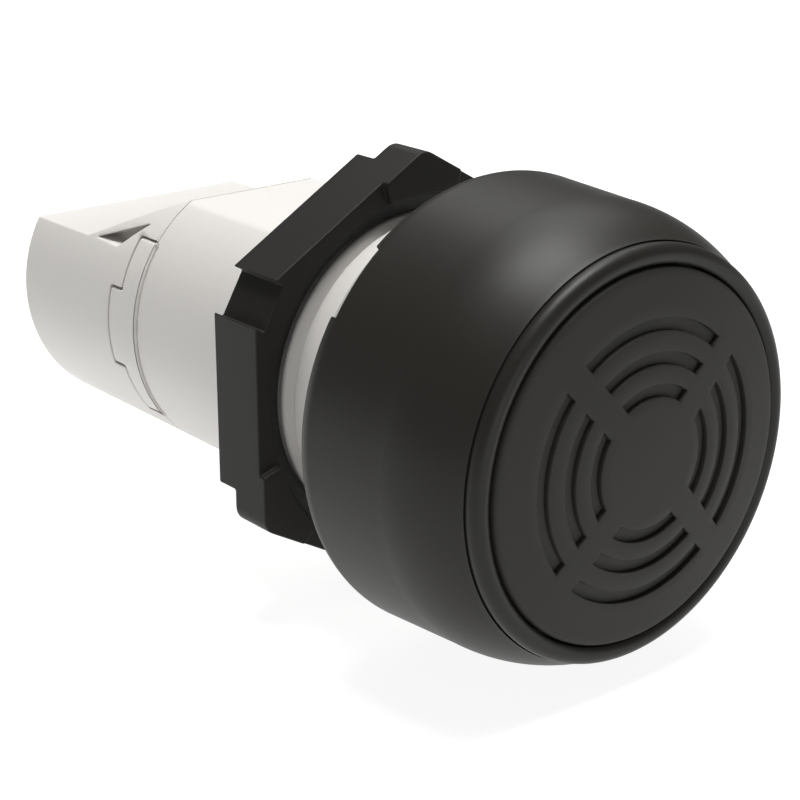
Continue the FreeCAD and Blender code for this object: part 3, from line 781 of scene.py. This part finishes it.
@dataclass
class HeadSizes:
    """Sizes of the black head in millimetres; places along the axis come from the frame."""

    rear: float
    front: float
    rear_r: float = 14.69
    widest_r: float = 15.1
    shoulder_r: float = 14.8
    bend_r: float = 14.42
    front_r: float = 13.16
    bore_r: float = 13.0
    lip_bore_r: float = 10.6
    lip_recess: float = 0.75
    lip_thick: float = 2.0
    widest_at: float = 1.3
    shoulder_at: float = 7.4
    bend_at: float = 10.25
    notch_deg: tuple[float, float] = (127.0, 147.0)
    notch_depth: float = 0.9
    notch_steps: int = 12
    ring_inner_r: float = 11.92
    ring_outer_gap: float = 0.06
    ring_rise: float = 0.95
    ring_steps: int = 18
    grille_r: float = 11.78
    grille_edge: float = 1.8
    grille_skin: float = 0.38
    dome_r: float = 80.0
    spigot_inner_r: float = 9.6
    slot_radii: tuple[float, ...] = (4.53, 6.47, 8.49)
    plain_radii: tuple[float, ...] = (1.2, 2.4, 3.4, 5.5, 7.48, 10.3, 11.1)
    slot_width: float = 0.8
    slot_rounding: float = 0.09
    rim_rounding: float = 0.32
    bridge_width: float = 1.9
    bridge_deg: float = 42.5
    bridge_cells: int = 4
    sector_cells: int = 30
    hub_r: float = 3.0
    seat_gap: float = 0.03
    side_steps: int = 12
    nose_steps: int = 28
    segments: int = 320
    sharp_deg: float = 38.0

    @property
    def columns(self) -> int:
        """Columns of the grille's grid all the way round."""
        return 4 * (self.bridge_cells + self.sector_cells)


class Head(Assembly):
    """The head: satin shell, rounded ring and slotted domed grille."""

    def __post_init__(self) -> None:
        """Takes the head's place along the axis from the frame."""
        super().__post_init__()
        low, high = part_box("head_shell")
        self.sizes = HeadSizes(rear=high.y / MM, front=low.y / MM)

    @property
    def lip_front(self) -> float:
        """Place of the front face of the inner lip."""
        return self.sizes.front + self.sizes.lip_recess

    def shell(self) -> bpy.types.Object:
        """Builds the cup with its rounded rims and the notch in the rear rim."""
        s = self.sizes
        widest = s.rear - s.widest_at
        lip_rear = self.lip_front + s.lip_thick
        corners = [Corner(s.bore_r, s.rear, 0.16), Corner(s.rear_r, s.rear, 0.14)]
        swell = (s.widest_r - 0.1, s.rear - s.widest_at * 0.4)
        corners += arc((s.rear_r, s.rear), swell, (s.widest_r, widest), 10)[2:]
        for k in range(1, s.side_steps):
            t = k / s.side_steps
            r = s.widest_r + (s.shoulder_r - s.widest_r) * t
            corners.append(Corner(r, widest + (s.rear - s.shoulder_at - widest) * t))
        bend = (s.bend_r, s.rear - s.bend_at)
        corners += arc((s.shoulder_r, s.rear - s.shoulder_at), bend, (s.front_r, s.front), s.nose_steps)[:-1]
        corners += [
            Corner(s.front_r + 0.04, s.front + 0.02),
            Corner(s.front_r, self.lip_front),
            Corner(s.lip_bore_r, self.lip_front, 0.1),
            Corner(s.lip_bore_r, lip_rear, 0.1),
            Corner(s.bore_r, lip_rear),
        ]
        shell = turned("head_cup", rounded(corners), s.segments)
        combine(shell, self.notch_cutter(), "DIFFERENCE")
        shell.data.shade_smooth()
        shell.data.set_sharp_from_angle(angle=math.radians(s.sharp_deg))
        return shell

    def notch_cutter(self) -> bpy.types.Object:
        """Builds the wedge that cuts the notch in the rear rim."""
        s = self.sizes
        bm = bmesh.new()
        start, end = (math.radians(a) for a in s.notch_deg)
        turns = [start + (end - start) * k / s.notch_steps for k in range(s.notch_steps + 1)]
        rows = []
        for y in (s.rear - s.notch_depth, s.rear + CUT_PAST):
            for r in (s.bore_r - CUT_PAST, s.widest_r + CUT_PAST):
                rows.append([bm.verts.new((r * math.cos(t) * MM, y * MM, r * math.sin(t) * MM)) for t in turns])
        low_in, low_out, high_in, high_out = rows
        for k in range(s.notch_steps):
            for a, b in ((low_in, low_out), (low_out, high_out), (high_out, high_in), (high_in, low_in)):
                bm.faces.new((a[k], a[k + 1], b[k + 1], b[k]))
        for k in (0, s.notch_steps):
            bm.faces.new((low_in[k], low_out[k], high_out[k], high_in[k]))
        return finish_mesh("notch_wedge", bm)

    def ring(self) -> bpy.types.Object:
        """Builds the rounded ring round the grille."""
        s = self.sizes
        outer = s.front_r - s.ring_outer_gap
        crest_r = s.ring_inner_r * 0.6 + outer * 0.4
        seat = self.lip_front - s.seat_gap
        crown = arc(
            (s.ring_inner_r, s.front - s.ring_rise * 0.75),
            (crest_r, s.front - s.ring_rise),
            (outer, s.front - 0.05),
            s.ring_steps,
        )
        first, last = crown[0], crown[-1]
        crown[0] = Corner(first.r, first.y, 0.08)
        crown[-1] = Corner(last.r, last.y, 0.05)
        corners = crown + [Corner(outer, seat, 0.05), Corner(s.ring_inner_r, seat, 0.05)]
        return turned("grille_ring", rounded(corners), s.segments)

    def dome(self, radius: float) -> float:
        """The place of the grille's domed face at this radius."""
        s = self.sizes
        centre = self.lip_front - s.grille_edge - s.dome_r + math.sqrt(s.dome_r**2 - s.grille_r**2)
        return centre + s.dome_r - math.sqrt(s.dome_r**2 - radius**2)

    def grille(self) -> bpy.types.Object:
        """Builds the slotted disc on a grid whose lines follow the slots and the straight bridges."""
        s = self.sizes
        half_slot = s.slot_width / 2
        inner = [middle - half_slot for middle in s.slot_radii]
        outer = [middle + half_slot for middle in s.slot_radii]
        radii = sorted([*s.plain_radii, *inner, *outer, s.spigot_inner_r, s.grille_r])
        bm = bmesh.new()
        rings = [[self.grid_point(bm, r, c) for c in range(s.columns)] for r in radii]
        centre = bm.verts.new((0.0, self.dome(0.0) * MM, 0.0))
        for c in range(s.columns):
            bm.faces.new((centre, rings[0][(c + 1) % s.columns], rings[0][c]))
        for i in range(len(radii) - 1):
            for c in range(s.columns):
                in_sector = c % (s.bridge_cells + s.sector_cells) >= s.bridge_cells
                if radii[i] in inner and in_sector:
                    continue
                d = (c + 1) % s.columns
                bm.faces.new((rings[i][c], rings[i][d], rings[i + 1][d], rings[i + 1][c]))
        self.thicken(bm)
        return finish_mesh("slotted_grille", bm, 44.0)

    def grid_point(self, bm: bmesh.types.BMesh, r: float, column: int) -> bmesh.types.BMVert:
        """Adds one point of the grille's grid.

        Args:
            bm: The mesh under construction.
            r: Distance from the axis in millimetres.
            column: Column of the grid.

        Returns:
            The new vertex.
        """
        s = self.sizes
        quarter, place = divmod(column, s.bridge_cells + s.sector_cells)
        reach = max(r, s.hub_r)
        half = math.asin(s.bridge_width / 2 / reach)
        if place <= s.bridge_cells:
            across = (2 * place / s.bridge_cells - 1) * s.bridge_width / 2
            turn = math.asin(across / reach)
        else:
            turn = half + (math.pi / 2 - 2 * half) * (place - s.bridge_cells) / s.sector_cells
        angle = math.radians(s.bridge_deg) + quarter * math.pi / 2 + turn
        return bm.verts.new((r * math.cos(angle) * MM, self.dome(r) * MM, r * math.sin(angle) * MM))

    def thicken(self, bm: bmesh.types.BMesh) -> None:
        """Gives the grille its thickness and rounds the edges of its slots and rim.

        Args:
            bm: The grille's face, which this changes.
        """
        s = self.sizes
        made = bmesh.ops.extrude_face_region(bm, geom=bm.faces[:], use_keep_orig=True)
        backs = {g for g in made["geom"] if isinstance(g, bmesh.types.BMVert)}
        seat = self.lip_front - s.seat_gap
        for vert in backs:
            r = math.hypot(vert.co.x, vert.co.z) / MM
            skin = vert.co.y / MM + s.grille_skin
            vert.co.y = (skin if r < s.spigot_inner_r + 0.1 else seat) * MM
        bmesh.ops.recalc_face_normals(bm, faces=bm.faces[:])
        slot_rims, outer_rim = [], []
        for edge in bm.edges:
            if any(v in backs for v in edge.verts) or len(edge.link_faces) != 2:
                continue
            walls = [f for f in edge.link_faces if any(v in backs for v in f.verts)]
            if len(walls) != 1:
                continue
            r = max(math.hypot(v.co.x, v.co.z) for v in edge.verts) / MM
            (outer_rim if r > s.grille_r - 0.05 else slot_rims).append(edge)
        for rims, width, parts in ((slot_rims, s.slot_rounding, 2), (outer_rim, s.rim_rounding, 4)):
            bmesh.ops.bevel(
                bm, geom=rims, offset=width * MM, offset_type="OFFSET", segments=parts,
                profile=0.5, affect="EDGES", clamp_overlap=False,
            )

    def build(self) -> None:
        """Builds and dresses the head's pieces."""
        self.stand_for(self.shell(), "head_shell", "buzzer")
        self.stand_for(self.ring(), "rim_ring", "buzzer")
        self.stand_for(self.grille(), "grille_disc", "buzzer")


@dataclass
class Body(Assembly):
    """The light grey body behind the panel, its cover and its seals. Sizes are in millimetres."""

    shell_edge: float = 0.13
    gasket_edge: float = 0.1
    body_r: float = 10.54
    body_flat: float = 9.1
    body_end: float = 24.3
    seam_gap: float = 0.18
    tongue_half: float = 6.4
    groove_width: float = 0.3
    groove_depth: float = 0.018
    lap_thick: float = 0.8
    lap_gap: float = 0.01

    def lap(self) -> bpy.types.Object:
        """The cover's lap that closes the joint above the two tongues and across the flat."""
        outer = self.body_r - self.lap_gap
        inner = outer - self.lap_thick
        foot = math.degrees(math.asin((self.tongue_half + self.seam_gap) / outer))
        crest = math.degrees(math.asin((self.body_flat - self.lap_gap) / outer))
        under = math.degrees(math.asin((self.body_flat - self.lap_thick) / inner))
        points = sweep(outer, foot, crest) + sweep(outer, 180 - crest, 180 - foot)
        points += sweep(inner, 180 - foot, 180 - under) + sweep(inner, under, foot)
        end = self.body_end + self.seam_gap - self.lap_gap
        return prism("joint_lap", points, self.body_end + self.lap_gap, end)

    def housing(self) -> bpy.types.Object:
        """The housing with a shallow groove round the foot of each tongue."""
        node = self.nodes["front_housing"]
        made = bpy.data.objects.new("grooved_housing", node.data.copy())
        made.matrix_world = node.matrix_world.copy()
        bpy.context.scene.collection.objects.link(made)
        reach = math.degrees(math.asin(self.tongue_half / self.body_r))
        for middle in (0.0, 180.0):
            points = sweep(self.body_r + CUT_PAST, middle - reach, middle + reach)
            points += sweep(self.body_r - self.groove_depth, middle + reach, middle - reach)
            start = self.body_end - self.groove_width
            combine(made, prism("tongue_groove", points, start, self.body_end), "DIFFERENCE")
        soften(made, self.shell_edge, clamp=False)
        return made

    def build(self) -> None:
        """Builds the housing and the lap, and dresses the cover and the seals."""
        self.stand_for(self.housing(), "front_housing", "buzzer")
        self.carry("rear_cap", self.shell_edge, clamp=False)
        joint = self.lap()
        self.wardrobe.dress(joint, self.slots["rear_cap"])
        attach(joint, "buzzer")
        self.carry("panel_gasket", self.gasket_edge, clamp=False)
        self.carry("head_oring", 0.0)


@dataclass
class Fixing(Assembly):
    """The hexagon nut with its raised pads, and the washer inside it. Sizes are in millimetres."""

    flat: float = 13.35
    rear_layer: float = 1.8
    pad_degs: tuple[int, ...] = (90, 210, 330)
    pad_height: float = 0.5
    pad_half_deg: float = 13.0
    pad_inner_r: float = 12.45
    notch_flat: float = 13.75
    notch_half: float = 1.6
    bore_r: float = 11.09
    counterbore_r: float = 12.2
    counterbore_depth: float = 1.5
    bore_segments: int = 120
    edge: float = 0.11
    edge_angle: float = 40.0
    corner_round: float = 0.7
    outside_r: float = 20.0
    washer_edge: float = 0.06

    def around(self, radial: float, sideways: float, degrees: float) -> tuple[float, float]:
        """Turns a point given from a corner's direction into (x, z)."""
        turn = math.radians(degrees)
        return (
            radial * math.cos(turn) - sideways * math.sin(turn),
            radial * math.sin(turn) + sideways * math.cos(turn),
        )

    def outline(self) -> Outline:
        """The hexagon with rounded corners and a flat-bottomed notch in every second one."""
        corner = self.flat / math.cos(math.radians(30))
        shoulder = corner - self.notch_half * math.tan(math.radians(30))
        corners: list[Corner] = []
        for i in range(6):
            degrees = 30 + 60 * i
            if i % 2:
                corners.append(Corner(*self.around(corner, 0.0, degrees), self.corner_round))
                continue
            for radial, side in ((shoulder, -1), (self.notch_flat, -1), (self.notch_flat, 1), (shoulder, 1)):
                corners.append(Corner(*self.around(radial, side * self.notch_half, degrees)))
        return rounded(corners, 5)

    def between_pads(self) -> Outline:
        """What is cut from the nut's front, so that raised pads stay at the three full corners."""
        points: Outline = []
        for middle in self.pad_degs:
            start, end = middle - self.pad_half_deg, middle + self.pad_half_deg
            points += sweep(self.pad_inner_r, start, end, 8) + sweep(self.outside_r, end, start + 120, 4)
        return points

    def nut(self) -> bpy.types.Object:
        """Builds the nut and rounds its edges."""
        low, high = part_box("fixing_nut")
        pad_front, rear = low.y / MM, high.y / MM
        front = pad_front + self.pad_height
        step = rear - self.rear_layer
        before, past = pad_front - CUT_PAST, rear + CUT_PAST
        flat, away = self.notch_flat, self.outside_r
        nut = prism("hexagon_nut", self.outline(), pad_front, rear)
        combine(nut, prism("between_pads", self.between_pads(), before, front), "DIFFERENCE")
        for degrees in self.pad_degs:
            sides = ((flat, -1), (away, -1), (away, 1), (flat, 1))
            box_points = [self.around(radial, side * self.notch_half, degrees) for radial, side in sides]
            combine(nut, prism("rear_notch", box_points, step, past), "DIFFERENCE")
        for radius, end in ((self.bore_r, past), (self.counterbore_r, front + self.counterbore_depth)):
            combine(nut, prism("nut_bore", circle(radius, self.bore_segments), before, end), "DIFFERENCE")
        soften(nut, self.edge, self.edge_angle, False)
        apply_modifiers(nut)
        return nut

    def build(self) -> None:
        """Builds the nut and dresses the washer."""
        self.stand_for(self.nut(), "fixing_nut", "fixing_nut")
        self.carry("lock_washer", self.washer_edge)


@dataclass
class Terminals(Assembly):
    """The terminal block with its plates, clamps and screws. Edge widths are in millimetres."""

    block_edge: float = 0.15
    plate_edge: float = 0.1
    clamp_edge: float = 0.12
    screw_edge: float = 0.07

    def build(self) -> None:
        """Dresses the block and the metal pieces of both terminals."""
        self.carry("terminal_block", self.block_edge)
        for hand in ("left", "right"):
            self.carry(f"terminal_{hand}", self.plate_edge)
            self.carry(f"wire_clamp_{hand}", self.clamp_edge)
            self.carry(f"terminal_screw_{hand}", self.screw_edge, clamp=False)


@dataclass
class Inserts(Assembly):
    """The sounder and the circuit board, which keep their shapes. Edge widths are in millimetres."""

    edges: dict[str, float] = field(
        default_factory=lambda: {
            "sound_chamber": 0.15,
            "piezo_holder": 0.15,
            "splash_membrane": 0.0,
            "piezo_plate": 0.0,
            "piezo_ceramic": 0.0,
            "lead_ceramic": 0.0,
            "lead_plate": 0.0,
            "circuit_board": 0.05,
            "driver_chip": 0.08,
            "filter_capacitor": 0.3,
            "coil_core": 0.1,
            "coil_winding": 0.1,
            "resistors": 0.06,
            "rectifier_diodes": 0.08,
        }
    )

    def build(self) -> None:
        """Dresses the pieces one by one."""
        for name, edge in self.edges.items():
            self.carry(name, edge)


@dataclass(frozen=True)
class SoftBox:
    """One soft studio light.

    Attributes:
        name: Name of the light.
        place: Where it stands, in metres.
        size: Its side lengths in metres.
        power: Its power in watts.
    """

    name: str
    place: tuple[float, float, float]
    size: tuple[float, float]
    power: float

    def set_up(self, target: Vector) -> None:
        """Places the light and turns it to the target.

        Args:
            target: The point it lights.
        """
        data = bpy.data.lights.new(self.name, "AREA")
        data.shape = "RECTANGLE"
        data.size, data.size_y = self.size
        data.energy = self.power
        lamp = bpy.data.objects.new(self.name, data)
        lamp.location = self.place
        lamp.rotation_euler = (target - Vector(self.place)).to_track_quat("-Z", "Y").to_euler()
        bpy.context.scene.collection.objects.link(lamp)


@dataclass
class Studio:
    """Camera, soft lights, pale floor and pale surroundings.

    Attributes:
        azimuth: Side of the camera, in degrees from the front towards +X.
        elevation: Height of the camera, in degrees.
        distance: Distance of the camera in metres.
        across: Shift of the camera to its right, in metres.
        raise_by: Shift of the camera upwards in its own view, in metres.
        along: Centre of the view along the axis, in metres.
        lens: Focal length in millimetres.
        sensor: Width of the sensor in millimetres.
        floor_drop: How far the floor lies below the object, in metres.
        floor_size: Half the side length of the floor, in metres.
        floor_glow: How strongly the floor shines by itself.
        room_light: How strongly the surroundings light the object.
        target: The point that the lights face, in metres.
        boxes: The soft lights.
    """

    azimuth: float = -39.4365
    elevation: float = 19.8827
    distance: float = 0.1270255
    across: float = -0.0053975
    raise_by: float = -0.0001182
    along: float = -0.0011
    lens: float = 88.1006
    sensor: float = 36.0
    floor_drop: float = 0.0002
    floor_size: float = 3.0
    floor_glow: float = 0.9
    room_light: float = 0.14
    target: tuple[float, float, float] = (0.0, 0.008, 0.0)
    boxes: tuple[SoftBox, ...] = (
        SoftBox("overhead_box", (0.03, 0.01, 0.42), (0.25, 0.22), 2.5),
        SoftBox("rear_box", (0.20, 0.22, 0.36), (0.3, 0.26), 0.55),
        SoftBox("front_box", (-0.08, -0.46, 0.03), (0.26, 0.2), 0.42),
    )

    def camera(self) -> None:
        """Creates the camera and makes it the scene's."""
        az, el = math.radians(self.azimuth), math.radians(self.elevation)
        back = Vector((math.sin(az) * math.cos(el), -math.cos(az) * math.cos(el), math.sin(el)))
        right = Vector((math.cos(az), math.sin(az), 0.0))
        up = back.cross(right)
        place = back * self.distance + right * self.across + up * self.raise_by + Vector((0.0, self.along, 0.0))
        data = bpy.data.cameras.new("studio_camera")
        data.lens = self.lens
        data.sensor_width = self.sensor
        data.clip_start = 0.005
        data.clip_end = 20.0
        made = bpy.data.objects.new("studio_camera", data)
        made.matrix_world = Matrix((right, up, back)).transposed().to_4x4()
        made.location = place
        bpy.context.scene.collection.objects.link(made)
        bpy.context.scene.camera = made

    def floor(self, height: float) -> None:
        """Lays the pale floor.

        Args:
            height: Height of the floor in metres.
        """
        bm = bmesh.new()
        bmesh.ops.create_grid(bm, x_segments=8, y_segments=8, size=self.floor_size)
        mesh = bpy.data.meshes.new("studio_floor")
        bm.to_mesh(mesh)
        bm.free()
        floor = bpy.data.objects.new("studio_floor", mesh)
        floor.location.z = height
        bpy.context.scene.collection.objects.link(floor)
        material = bpy.data.materials.new("pale_floor")
        material.use_nodes = True
        shader = material.node_tree.nodes["Principled BSDF"]
        set_inputs(shader, {"Base Color": (0.3, 0.3, 0.3, 1.0), "Roughness": 0.9, "Specular IOR Level": 0.1})
        set_inputs(shader, {"Emission Color": WHITE, "Emission Strength": self.floor_glow})
        mesh.materials.append(material)
        floor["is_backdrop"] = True

    def surroundings(self) -> None:
        """Sets the pale surroundings and a plain view transform."""
        scene = bpy.context.scene
        world = bpy.data.worlds.new("pale_room")
        scene.world = world
        world.use_nodes = True
        tree = world.node_tree
        room = tree.nodes["Background"]
        set_inputs(room, {"Color": WHITE, "Strength": self.room_light})
        seen = tree.nodes.new("ShaderNodeBackground")
        set_inputs(seen, {"Color": WHITE, "Strength": 1.0})
        path = tree.nodes.new("ShaderNodeLightPath")
        mix = tree.nodes.new("ShaderNodeMixShader")
        tree.links.new(path.outputs["Is Camera Ray"], mix.inputs[0])
        tree.links.new(room.outputs[0], mix.inputs[1])
        tree.links.new(seen.outputs[0], mix.inputs[2])
        tree.links.new(mix.outputs[0], tree.nodes["World Output"].inputs["Surface"])
        scene.view_settings.view_transform = "Standard"
        scene.view_settings.look = "None"

    def build(self, low: Vector) -> None:
        """Sets up the whole studio.

        Args:
            low: Lowest corner of the object.
        """
        self.camera()
        self.floor(low.z - self.floor_drop)
        self.surroundings()
        for box in self.boxes:
            box.set_up(Vector(self.target))


def main() -> None:
    """Builds the visual model and its studio."""
    logging.basicConfig(level=logging.INFO, format="%(name)s: %(message)s")
    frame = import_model()
    low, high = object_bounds()
    wardrobe = Wardrobe()
    for group in (Head, Body, Fixing, Inserts, Terminals):
        group(frame, wardrobe).build()
    Studio().build(low)


if __name__ == "__main__":
    main()
